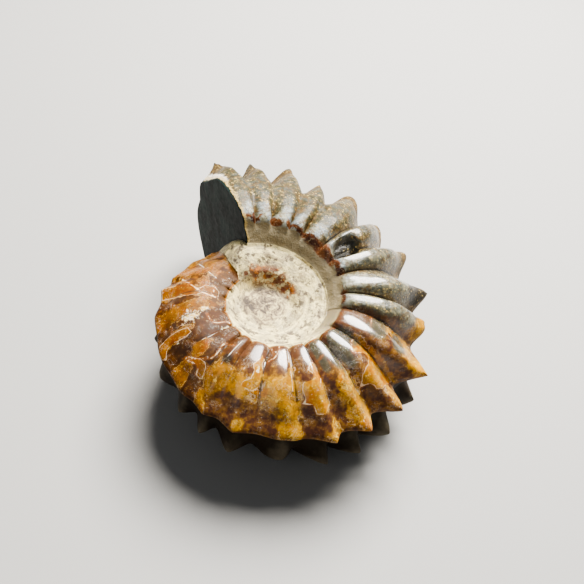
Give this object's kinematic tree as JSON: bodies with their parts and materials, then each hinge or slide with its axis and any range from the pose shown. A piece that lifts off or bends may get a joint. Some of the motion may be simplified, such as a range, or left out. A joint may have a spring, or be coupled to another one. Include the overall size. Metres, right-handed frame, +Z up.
{
  "type": "fossil ammonite",
  "caption": "Coiled ribbed shell fossil with two rows of tubercles, polished on one flank, its umbilicus filled with stone, lying on the other flank.",
  "frame": {"origin": "on the surface that the fossil lies on, under the middle of its bounding box", "axes": "+Z up. The coil's axis leans 7.1 degrees from +Z, towards +X and -Y. The broken mouth faces -X and is at the back left when seen along +Y"},
  "size_m": [0.0406, 0.0492, 0.0237],
  "materials": {
    "fossil": "polished calcite and shell: amber and brown with cream suture lines, silvery olive shell near the mouth, cream stone in the umbilicus, dark stone at the break"
  },
  "bodies": {
    "root": {"ammonite": "fossil"}
  },
  "joints": []
}
